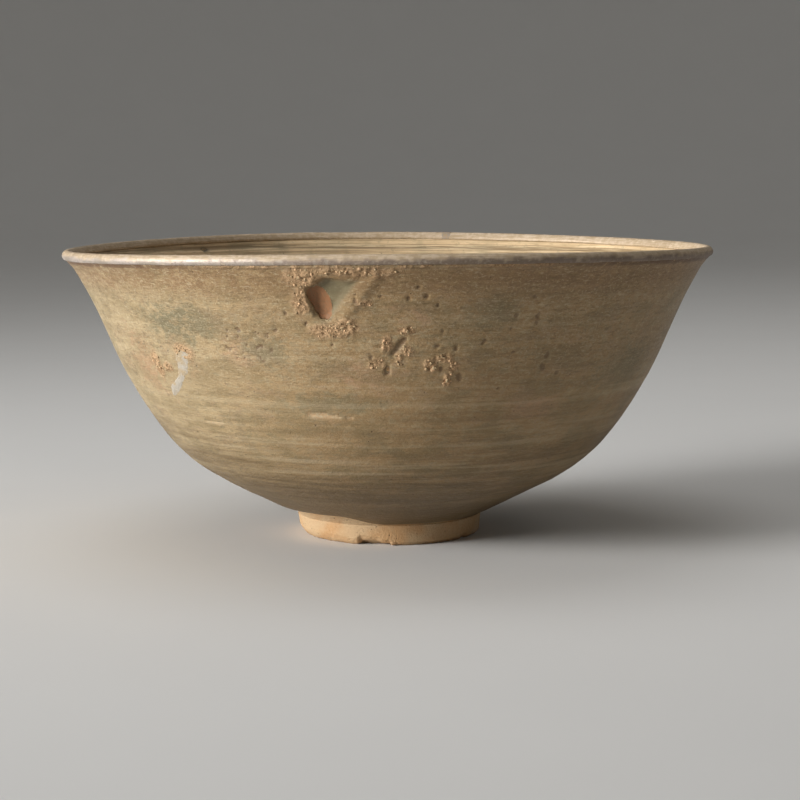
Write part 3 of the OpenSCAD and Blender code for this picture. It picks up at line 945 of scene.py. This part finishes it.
def outer_glaze_finish(colours):
    """Oxidised celadon: olive-buff with streaks, green and pinkish clouds, pinholes and crumbled places, with
    painted shade low on the wall, under the band, on the right front side and at the hollow's top.
    """
    material, start = new_material("oxidised_celadon")
    place = start.place()
    height = start.height()
    band = place.scaled(0.012, 0.012, 0.34).noise(detail=4, roughness=0.6)
    long_streak = place.scaled(0.06, 0.06, 1.1).noise(detail=3, roughness=0.6)
    short_streak = place.scaled(0.36, 0.36, 1.5).noise(detail=3, roughness=0.65)
    dash = place.scaled(0.8, 0.8, 3.0).noise(detail=2, roughness=0.6)
    cloud = place.noise(scale=0.07, detail=4, roughness=0.6, distortion=0.4)
    other_cloud = place.scaled(1, 1, 1.5).noise(scale=0.17, detail=4, roughness=0.65)
    mottle = place.scaled(1, 1, 1.7).noise(scale=0.5, detail=4, roughness=0.72)
    speck = place.noise(scale=1.7, detail=3, roughness=0.7)
    crumb, pit, chip, smooth, green_mask, pink_mask, browner_shaded_side, seat = (
        start.mask(name) for name in ("crumb", "pit", "chip", "smooth", "green", "pink", "browner_shaded_side", "seat"))
    low = height.step(42, 12)
    patch = place.scaled(1, 1, 2.4).noise(scale=0.1, detail=5, roughness=0.62)
    bristle = 0.3 + 0.7 * height.step(34, 54)
    colour = cloud.step(0.42, 0.58).blend(colours.glaze_buff, colours.glaze_tan)
    # The right front side is painted browner and darker: partly the glaze's tone, partly painted shade.
    browner_shaded_colour = mottle.step(0.42, 0.7).blend(colours.glaze_amber_shade, colours.glaze_tan)
    colour = (browner_shaded_side * 0.75).blend(colour, browner_shaded_colour)
    pinkish = (other_cloud * 0.6 + mottle * 0.4 + 0.12 * pink_mask).step(0.5, 0.62)
    colour = (pinkish * (0.5 + 0.35 * pink_mask)).blend(colour, colours.glaze_pink)
    colour = (patch.step(0.45, 0.6) * (0.45 + 0.3 * low)).blend(colour, colours.glaze_olive)
    greenish = mottle * 0.35 + dash * 0.2 + other_cloud * 0.25 + cloud * 0.2 + 0.1 * green_mask
    greenish = greenish.step(0.48, 0.59) * (1 - 0.5 * browner_shaded_side * (1 - 0.8 * low))
    colour = (greenish * (0.5 + 0.35 * green_mask)).blend(colour, colours.glaze_green)
    brownish = band.step(0.45, 0.58) * 0.5 + long_streak.step(0.48, 0.62) * 0.4
    colour = (brownish * (0.3 + 0.8 * low)).blend(colour, colours.glaze_brown_and_low_shade)
    colour = (band.step(0.46, 0.36) * (0.15 + 0.3 * low)).blend(colour, colours.glaze_pale)
    # Painted shade: darker brown low on the wall, where it faces down towards the foot.
    colour = (low * 0.48 + height.step(18, 7) * 0.45).blend(colour, colours.glaze_brown_and_low_shade)
    # Rusty glaze and painted shade in the concave flare just under the band.
    under_band_shade = height.step(61, 66) * height.step(71, 68.5)
    colour = (under_band_shade * mottle.step(0.28, 0.6) * 0.75).blend(colour, colours.glaze_rust_and_shade)
    dark_streak = (short_streak * 0.7 + dash * 0.3).step(0.52, 0.64)
    colour = (dark_streak * bristle * 0.4).blend(colour, colours.glaze_brown_and_low_shade)
    pale_streak = dash.step(0.5, 0.64) * short_streak.step(0.53, 0.4)
    colour = (pale_streak * bristle * 0.32).blend(colour, colours.glaze_pale)
    colour = (speck.step(0.54, 0.68) * bristle * 0.3).blend(colour, colours.glaze_brown_and_low_shade)
    colour = (speck.step(0.44, 0.32) * bristle * 0.3).blend(colour, colours.glaze_pale)
    hollow = (0.7 * mottle + 0.3 * cloud).step(0.38, 0.62).blend(colours.glaze_green, colours.hollow_green)
    # The hollow's top is darker green: pooled glaze and painted shadow.
    hollow = (start.mask("pool_and_shadow") * 0.75).blend(hollow, colours.glaze_green)
    colour = (smooth * 0.72).blend(colour, hollow)
    grain = (0.7 * speck + 0.3 * mottle).step(0.4, 0.6)
    crumbled = grain.blend(colours.glaze_rust_and_shade, colours.crumb_buff)
    colour = (crumb * 0.75 * (1 - 0.35 * under_band_shade)).blend(colour, crumbled)
    colour = (chip * 0.55).blend(colour, grain.blend(colours.crumb_buff, colours.glaze_pale))
    # Painted shadow: a dark line just under the band's lower edge.
    colour = (seat * 0.8 * mottle.step(0.3, 0.5)).blend(colour, colours.rust_pits_and_band_shadow)
    pinhole = place.cells(scale=0.42).step(0.12, 0.05) * other_cloud.step(0.45, 0.62)
    dark = (pit.step(0.1, 0.75) * (0.5 + 0.4 * speck) * (1 - 0.3 * browner_shaded_side)).most(pinhole * 0.55)
    pit_colour = (0.4 * cloud + 0.6 * browner_shaded_side).step(0.35, 0.6).blend(colours.pit_dark, colours.rust_pits_and_band_shadow)
    colour = dark.blend(colour, pit_colour)
    roughness = 0.42 + 0.14 * short_streak + 0.25 * crumb + 0.2 * chip - 0.06 * smooth
    relief = (0.45 * short_streak + 0.35 * dash + 0.5 * mottle + 0.4 * speck) * (1 - 0.75 * smooth)
    relief = relief + crumb * speck * 1.1 - 0.5 * pinhole
    close_material(start, colour, roughness, relief, 0.24, specular=0.36)
    return material


def inner_glaze_finish(colours):
    """Tan celadon inside: pale ridges, brown troughs, fine turning lines and dark specks."""
    material, start = new_material("tan_celadon")
    place = start.place()
    ridge, spot, well = (start.mask(name) for name in ("ridge", "spot", "well"))
    line = place.scaled(0.05, 0.05, 2.6).noise(detail=3, roughness=0.6)
    dash = place.scaled(0.35, 0.35, 2.4).noise(detail=3, roughness=0.65)
    cloud = place.noise(scale=0.07, detail=4, roughness=0.6)
    mottle = place.noise(scale=0.5, detail=4, roughness=0.7)
    height = start.height()
    near_rim = 0.15 + 0.85 * height.step(32, 62)
    crest = ridge * (0.12 + 0.38 * near_rim) + 0.6 + 0.3 * (line - 0.5) * near_rim
    colour = crest.step(0.1, 0.95).blend(colours.inner_brown, colours.inner_tan)
    colour = (height.step(34, 14) * (0.35 + 0.9 * (cloud - 0.4))).blend(colour, colours.glaze_olive)
    colour = (cloud.step(0.48, 0.7) * 0.45).blend(colour, colours.glaze_green)
    colour = (line.step(0.5, 0.62) * near_rim * 0.6).blend(colour, colours.inner_pale)
    colour = (line.step(0.46, 0.34) * near_rim * 0.5).blend(colour, colours.inner_brown)
    colour = (dash.step(0.54, 0.7) * near_rim * 0.4).blend(colour, colours.inner_brown)
    colour = (mottle.step(0.55, 0.72) * 0.3).blend(colour, colours.glaze_green)
    colour = (well * 0.45).blend(colour, colours.inner_brown)
    pinhole = place.cells(scale=0.35).step(0.1, 0.04) * cloud.step(0.4, 0.6)
    colour = (spot * 0.9).most(pinhole * 0.6).blend(colour, colours.pit_dark)
    roughness = 0.4 + 0.14 * line + 0.1 * cloud
    relief = 0.5 * line + 0.3 * dash + 0.3 * mottle - 0.4 * pinhole
    close_material(start, colour, roughness, relief, 0.16, specular=0.42)
    return material


def clay_surface(name, colours):
    """Bare stoneware: sandy speckle, pores and clouds of darker firing."""
    material, start = new_material(name)
    place = start.place()
    grain = place.noise(scale=1.9, detail=4, roughness=0.65)
    cloud = place.noise(scale=0.16, detail=3)
    pore = place.cells(scale=0.95).step(0.16, 0.06) * place.noise(scale=0.5, detail=1).step(0.45, 0.6)
    colour = cloud.step(0.38, 0.68).blend(colours.clay_buff, colours.clay_orange)
    colour = (grain.step(0.55, 0.72) * 0.4).blend(colour, colours.clay_pale)
    colour = (grain.step(0.42, 0.3) * 0.5).blend(colour, colours.clay_brown)
    colour = (pore * 0.85).blend(colour, colours.pit_dark)
    return material, start, colour, grain, pore


def foot_clay_finish(colours):
    """The foot: orange-buff clay, darker where it has stood and been handled."""
    material, start, colour, grain, pore = clay_surface("foot_clay", colours)
    colour = (start.mask("soot") * 0.35 * grain.step(0.4, 0.6)).blend(colour, colours.clay_brown)
    close_material(start, colour, 0.82 + 0.1 * grain, 0.7 * grain - 0.8 * pore, 0.35, specular=0.3)
    return material


def bare_clay_finish(colours):
    """The body's clay: buff under the foot, and burnt red-brown in the bare spot."""
    material, start, colour, grain, pore = clay_surface("body_clay", colours)
    burnt = start.mask("burnt")
    skin = (grain.step(0.38, 0.62) * 0.75).blend(colours.clay_burnt, colours.clay_brown)
    colour = burnt.blend(colour, skin)
    relief = (0.7 * grain - 0.8 * pore) * (1 - 0.7 * burnt)
    close_material(start, colour, 0.8 - 0.2 * burnt, relief, 0.3, specular=0.35)
    return material


def band_finish(colours):
    """Aged metal: dull lilac-grey, browned in patches and inside the bowl, with painted shade on its right
    front side, and worn pale in small spots.
    """
    material, start = new_material("aged_band_metal")
    place = start.place()
    inside, worn, brown = (start.mask(name) for name in ("inside", "worn", "brown"))
    cloud = place.noise(scale=0.13, detail=4, roughness=0.6)
    patch = place.noise(scale=0.75, detail=4, roughness=0.65)
    scratch = place.scaled(0.25, 0.25, 5).noise(detail=3)
    colour = (cloud * 0.5 + patch * 0.5).step(0.42, 0.58).blend(colours.band_grey, colours.band_lilac)
    # The brown mask adds painted shade to the tarnish on the right front side.
    tarnish = (patch * 0.6 + cloud * 0.4 + 0.2 * brown).step(0.5, 0.66)
    colour = (tarnish * 0.7).blend(colour, colours.band_tarnish_and_shade)
    skin = (0.5 * patch + 0.5 * scratch).step(0.42, 0.6).blend(colours.band_skin_dark, colours.band_skin)
    colour = inside.blend(colour, skin)
    bright = (patch + 0.3 * scratch).step(0.74, 0.9).most(worn * 0.7)
    # Fewer pale spots where the painted shade lies.
    bright = bright * (1 - 0.5 * brown) * (1 - 0.7 * inside)
    colour = (bright * 0.75).blend(colour, colours.band_bright)
    roughness = 0.46 + 0.15 * tarnish + 0.12 * scratch
    metallic = 0.5 - 0.2 * tarnish - 0.35 * inside
    close_material(start, colour, roughness, 0.6 * patch + 0.3 * scratch, 0.16, metallic=metallic)
    return material


def solder_finish(colours):
    """Dull grey solder, a little lumpy."""
    material, start = new_material("dull_solder")
    place = start.place()
    patch = place.noise(scale=2.2, detail=3)
    colour = patch.step(0.4, 0.6).blend(colours.band_skin_dark, colours.band_grey)
    close_material(start, colour, 0.5 + 0.2 * patch, patch, 0.12, metallic=0.6)
    return material


def lacquer_finish(colours):
    """Dark dried lacquer with a dusty skin."""
    material, start = new_material("dried_lacquer")
    place = start.place()
    dust = place.noise(scale=1.4, detail=3)
    colour = dust.step(0.45, 0.7).blend(colours.lacquer, colours.lacquer_dust)
    close_material(start, colour, 0.45 + 0.3 * dust, dust, 0.1)
    return material


def grit_finish(colours):
    """Fused kiln sand: buff and pinkish grains, each with darker sides."""
    material, start = new_material("fused_grit")
    place = start.place()
    each = place.noise(scale=0.9, detail=1)
    grain = place.noise(scale=3.5, detail=3)
    colour = each.step(0.42, 0.62).blend(colours.glaze_tan, colours.crumb_buff)
    colour = (each.step(0.46, 0.34) * 0.7).blend(colour, colours.glaze_rust_and_shade)
    colour = (grain.step(0.5, 0.3) * 0.5).blend(colour, colours.clay_brown)
    close_material(start, colour, 0.62 + 0.2 * grain, grain, 0.12, specular=0.4)
    return material


def fill_finish(colours):
    """Pale lilac-grey filler, worn, with a little of the glaze's buff rubbed over it."""
    material, start = new_material("scar_filler")
    place = start.place()
    cloud = place.noise(scale=0.45, detail=4)
    grain = place.noise(scale=2.4, detail=3)
    colour = cloud.step(0.42, 0.66).blend(colours.fill_lilac, colours.fill_buff)
    colour = (grain.step(0.55, 0.7) * 0.35).blend(colour, colours.fill_white)
    close_material(start, colour, 0.6 + 0.2 * grain, grain, 0.15, specular=0.35)
    return material


# ---- the stage -------------------------------------------------------------

def make_floor(scene):
    """A plain floor round the bowl that bends up into a low wall."""
    columns, flat_r, bend_r, wall_top = 96, 1.6, 0.9, 2.2
    outline = [(r, 0) for r in (0.001, 0.2, 0.6, 1.0, 1.5)]
    for turn in np.radians(np.arange(10, 91, 10)):
        outline.append((flat_r + bend_r * math.sin(turn), bend_r - bend_r * math.cos(turn)))
    outline.append((flat_r + bend_r, wall_top))
    theta = np.linspace(-math.pi, math.pi, columns, endpoint=False)[None, :]
    r, z = (np.array(values)[:, None] for values in zip(*outline))
    points = stacked(r * np.cos(theta), r * np.sin(theta), z).reshape(-1, 3)
    mesh = bpy.data.meshes.new("floor")
    mesh.from_pydata(points.tolist(), [], [range(columns), *ring_faces(len(outline), columns).tolist()])
    mesh.shade_smooth()
    floor = bpy.data.objects.new("floor", mesh)
    scene.collection.objects.link(floor)
    material, start = new_material("floor_paper")
    speck = start.place().noise(scale=0.02, detail=2)
    paper = scene.teabowl_colours.floor
    colour = speck.blend([0.97 * level for level in paper], paper)
    close_material(start, colour, 0.9, speck, 0.01, specular=0.2)
    mesh.materials.append(material)


def area_light(scene, name, place, size, power, spread=math.pi):
    """A rectangular light that faces the bowl's middle."""
    middle = (0, 0, 0.04)
    data = bpy.data.lights.new(name, "AREA")
    data.shape = "RECTANGLE"
    data.size, data.size_y = size
    data.spread = spread
    data.energy = power
    light = bpy.data.objects.new(name, data)
    scene.collection.objects.link(light)
    facing = (Vector(place) - Vector(middle)).to_track_quat("Z", "Y")
    light.matrix_world = Matrix.Translation(place) @ facing.to_matrix().to_4x4()


def make_lights(scene):
    """A soft light from the left, a wide one overhead and a weak one all round."""
    stage = scene.teabowl_stage
    area_light(scene, "key_softbox", (-1.38, -0.59, 0.36), (0.7, 0.62), stage.key_power, math.radians(50))
    area_light(scene, "top_softbox", (-0.2, 0.2, 1.3), (0.9, 0.9), stage.top_power)
    world = bpy.data.worlds.new("studio")
    world.use_nodes = True
    background = world.node_tree.nodes["Background"]
    background.inputs["Color"].default_value = (0.96, 0.95, 0.93, 1)
    background.inputs["Strength"].default_value = stage.ambience
    scene.world = world


def make_camera(scene):
    """The camera in front of the bowl, a little above its rim and looking down."""
    stage = scene.teabowl_stage
    data = bpy.data.cameras.new("camera")
    data.lens = stage.lens
    data.clip_start = 0.01
    camera = bpy.data.objects.new("camera", data)
    scene.collection.objects.link(camera)
    camera.matrix_world = (
        Matrix.Translation((stage.to_right, -stage.distance, CREST_Z * MM + stage.above_rim))
        @ Matrix.Rotation(math.pi / 2 - stage.look_down, 4, "X")
        @ Matrix.Rotation(stage.roll, 4, "Z")
    )
    scene.camera = camera
    scene.view_settings.view_transform = "Standard"


# ---- the add-on ------------------------------------------------------------

def colour_property(name, description, default):
    return bpy.props.FloatVectorProperty(
        name=name, description=description, default=default, min=0, max=1, size=3, subtype="COLOR")


def length_property(name, description, default, **limits):
    return bpy.props.FloatProperty(name=name, description=description, default=default, unit="LENGTH", **limits)


def angle_property(name, description, default):
    return bpy.props.FloatProperty(name=name, description=description, default=default, subtype="ANGLE")


def power_property(name, description, default):
    return bpy.props.FloatProperty(name=name, description=description, default=default, min=0, unit="POWER")


class TeabowlShape(bpy.types.PropertyGroup):
    """Sizes of the bowl's skins."""

    glaze_thickness: length_property(
        "Glaze", "Thickness of the glaze coats", GLAZE_T * MM, min=0.2 * MM, max=0.8 * MM)
    band_thickness: length_property(
        "Band", "Thickness of the rim band's metal", BAND_T * MM, min=0.2 * MM, max=0.6 * MM)


class TeabowlColours(bpy.types.PropertyGroup):
    """Colours of the bowl's finishes."""

    glaze_buff: colour_property("Glaze buff", "Main colour of the outer glaze", (0.385, 0.292, 0.163))
    glaze_tan: colour_property("Glaze tan", "Warmer clouds in the glaze", (0.42, 0.315, 0.175))
    # The amber is partly painted shade on the right front side, away from the key light.
    glaze_amber_shade: colour_property("Glaze amber", "Browner side of the outer glaze", (0.34, 0.205, 0.088))
    glaze_olive: colour_property("Glaze olive", "Olive patches in the glaze", (0.225, 0.165, 0.078))
    glaze_green: colour_property("Glaze green", "Grey-green speckle in the glaze", (0.14, 0.132, 0.076))
    glaze_pink: colour_property("Glaze pink", "Pinkish clouds in the glaze", (0.44, 0.27, 0.15))
    # Brown streaks, and also the painted shade low on the wall near the foot.
    glaze_brown_and_low_shade: colour_property("Glaze brown", "Brown streaks in the glaze", (0.14, 0.09, 0.04))
    # Rust on the crumbs and grit, and also painted shade in the flare under the band.
    glaze_rust_and_shade: colour_property("Glaze rust", "Rusty brown below the band", (0.22, 0.125, 0.055))
    glaze_pale: colour_property("Glaze pale", "Pale streaks in the glaze", (0.6, 0.49, 0.32))
    crumb_buff: colour_property("Crumb buff", "Crumbled glaze and broken clay", (0.62, 0.39, 0.215))
    hollow_green: colour_property("Hollow green", "Smooth glaze in the hollow", (0.15, 0.12, 0.065))
    inner_tan: colour_property("Inner tan", "Ridges of the inner glaze", (0.68, 0.49, 0.28))
    inner_brown: colour_property("Inner brown", "Troughs of the inner glaze", (0.25, 0.17, 0.085))
    inner_pale: colour_property("Inner pale", "Pale lines of the inner glaze", (0.82, 0.64, 0.4))
    pit_dark: colour_property("Pits", "Grey-green pits", (0.06, 0.056, 0.036))
    # Red-brown pits, and also the painted shadow line under the band.
    rust_pits_and_band_shadow: colour_property("Rusty pits", "Red-brown pits", (0.11, 0.055, 0.028))
    clay_buff: colour_property("Clay buff", "Bare buff clay", (0.48, 0.33, 0.185))
    clay_orange: colour_property("Clay orange", "Bare orange clay", (0.46, 0.27, 0.125))
    clay_brown: colour_property("Clay brown", "Darker bare clay", (0.22, 0.125, 0.06))
    clay_pale: colour_property("Clay pale", "Pale sand in the clay", (0.6, 0.455, 0.3))
    clay_burnt: colour_property("Clay burnt", "Burnt clay in the bare spot", (0.29, 0.13, 0.055))
    band_grey: colour_property("Band grey", "Main colour of the band", (0.37, 0.31, 0.25))
    band_lilac: colour_property("Band lilac", "Lilac tinge of the band", (0.5, 0.43, 0.38))
    # Real tarnish, and also painted shade on the band's right front side.
    band_tarnish_and_shade: colour_property("Band tarnish", "Tarnish on the band", (0.15, 0.095, 0.055))
    band_bright: colour_property("Band bright", "Worn spots on the band", (0.72, 0.6, 0.44))
    band_skin: colour_property("Band skin", "Pale skin on the band's inner side", (0.55, 0.43, 0.3))
    band_skin_dark: colour_property("Band dark skin", "Dark skin on its inner side", (0.42, 0.31, 0.19))
    lacquer: colour_property("Lacquer", "Bed of the band", (0.035, 0.02, 0.014))
    lacquer_dust: colour_property("Lacquer dust", "Dust on the lacquer", (0.16, 0.11, 0.07))
    fill_lilac: colour_property("Fill lilac", "Main colour of the scar's fill", (0.38, 0.335, 0.27))
    fill_buff: colour_property("Fill buff", "Buff in the scar's fill", (0.37, 0.28, 0.17))
    fill_white: colour_property("Fill white", "Worn spots of the fill", (0.5, 0.44, 0.34))
    floor: colour_property("Floor", "The stage's floor", (0.74, 0.73, 0.71))


class TeabowlStage(bpy.types.PropertyGroup):
    """Where the camera and the lights stand."""

    distance: length_property("Distance", "Camera's distance in front of the bowl's axis", 0.5)
    above_rim: length_property("Above rim", "Camera's height above the rim", 0.017)
    to_right: length_property("To the right", "Camera's distance to the right of the axis", 0.0028)
    look_down: angle_property("Look down", "Camera's downward pitch", 0.1133)
    roll: angle_property("Roll", "Camera's roll", -0.0045)
    lens: bpy.props.FloatProperty(
        name="Lens", description="Camera's focal length", default=90.4, min=1, unit="CAMERA")
    key_power: power_property("Key light", "Power of the light at the left", 3.9)
    top_power: power_property("Top light", "Power of the light overhead", 3.2)
    ambience: bpy.props.FloatProperty(
        name="Ambience", description="Strength of the light all round", default=0.24, min=0)


class TEABOWL_OT_stage(bpy.types.Operator):
    """Set up the plain floor, the soft lights and the camera"""

    bl_idname = "teabowl.stage"
    bl_label = "Stage"
    bl_options = {"REGISTER", "UNDO"}

    def execute(self, context):
        make_floor(context.scene)
        make_lights(context.scene)
        make_camera(context.scene)
        return {"FINISHED"}


class TEABOWL_OT_clay_body(bpy.types.Operator):
    """Build the thrown clay wall and floor"""

    bl_idname = "teabowl.clay_body"
    bl_label = "Clay body"
    bl_options = {"REGISTER", "UNDO"}

    def execute(self, context):
        make_clay_body(context.scene)
        return {"FINISHED"}


class TEABOWL_OT_foot_ring(bpy.types.Operator):
    """Build the worn foot ring"""

    bl_idname = "teabowl.foot_ring"
    bl_label = "Foot ring"
    bl_options = {"REGISTER", "UNDO"}

    def execute(self, context):
        make_foot_ring(context.scene)
        return {"FINISHED"}


class TEABOWL_OT_outer_glaze(bpy.types.Operator):
    """Build the outer glaze coat"""

    bl_idname = "teabowl.outer_glaze"
    bl_label = "Outer glaze"
    bl_options = {"REGISTER", "UNDO"}

    def execute(self, context):
        make_outer_glaze(context.scene)
        return {"FINISHED"}


class TEABOWL_OT_inner_glaze(bpy.types.Operator):
    """Build the inner glaze coat"""

    bl_idname = "teabowl.inner_glaze"
    bl_label = "Inner glaze"
    bl_options = {"REGISTER", "UNDO"}

    def execute(self, context):
        make_inner_glaze(context.scene)
        return {"FINISHED"}


class TEABOWL_OT_rim_band(bpy.types.Operator):
    """Build the metal band and its bed of lacquer"""

    bl_idname = "teabowl.rim_band"
    bl_label = "Rim band"
    bl_options = {"REGISTER", "UNDO"}

    def execute(self, context):
        make_rim_band(context.scene)
        return {"FINISHED"}


class TEABOWL_OT_band_solder(bpy.types.Operator):
    """Build the soldered joint of the band"""

    bl_idname = "teabowl.band_solder"
    bl_label = "Band joint"
    bl_options = {"REGISTER", "UNDO"}

    def execute(self, context):
        make_band_solder(context.scene)
        return {"FINISHED"}


class TEABOWL_OT_kiln_grit(bpy.types.Operator):
    """Build the grains fused to the wall"""

    bl_idname = "teabowl.kiln_grit"
    bl_label = "Kiln grit"
    bl_options = {"REGISTER", "UNDO"}

    def execute(self, context):
        make_kiln_grit(context.scene)
        return {"FINISHED"}


class TEABOWL_OT_scar_fill(bpy.types.Operator):
    """Build the pale fill in the scar"""

    bl_idname = "teabowl.scar_fill"
    bl_label = "Scar fill"
    bl_options = {"REGISTER", "UNDO"}

    def execute(self, context):
        make_scar_fill(context.scene)
        return {"FINISHED"}


class TEABOWL_PT_panel(bpy.types.Panel):
    """Lists the bowl's pieces and settings."""

    bl_idname = "TEABOWL_PT_panel"
    bl_label = "Tea bowl"
    bl_space_type = "VIEW_3D"
    bl_region_type = "UI"
    bl_category = "Tea bowl"

    def draw(self, context):
        scene = context.scene
        for group in (scene.teabowl_shape, scene.teabowl_colours, scene.teabowl_stage):
            box = self.layout.box()
            for name in group.__annotations__:
                box.prop(group, name)
        for operator in OPERATORS:
            self.layout.operator(operator.bl_idname)


OPERATORS = (TEABOWL_OT_stage, TEABOWL_OT_clay_body, TEABOWL_OT_foot_ring, TEABOWL_OT_outer_glaze,
             TEABOWL_OT_inner_glaze, TEABOWL_OT_rim_band, TEABOWL_OT_band_solder, TEABOWL_OT_kiln_grit,
             TEABOWL_OT_scar_fill)
CLASSES = (TeabowlShape, TeabowlColours, TeabowlStage, *OPERATORS, TEABOWL_PT_panel)


def register():
    for cls in CLASSES:
        bpy.utils.register_class(cls)
    bpy.types.Scene.teabowl_shape = bpy.props.PointerProperty(type=TeabowlShape)
    bpy.types.Scene.teabowl_colours = bpy.props.PointerProperty(type=TeabowlColours)
    bpy.types.Scene.teabowl_stage = bpy.props.PointerProperty(type=TeabowlStage)


def unregister():
    del bpy.types.Scene.teabowl_stage
    del bpy.types.Scene.teabowl_colours
    del bpy.types.Scene.teabowl_shape
    for cls in reversed(CLASSES):
        bpy.utils.unregister_class(cls)


def main():
    register()
    bpy.ops.teabowl.stage()
    bpy.ops.teabowl.clay_body()
    bpy.ops.teabowl.foot_ring()
    bpy.ops.teabowl.outer_glaze()
    bpy.ops.teabowl.inner_glaze()
    bpy.ops.teabowl.rim_band()
    bpy.ops.teabowl.band_solder()
    bpy.ops.teabowl.kiln_grit()
    bpy.ops.teabowl.scar_fill()
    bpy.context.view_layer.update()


if __name__ == "__main__":
    main()
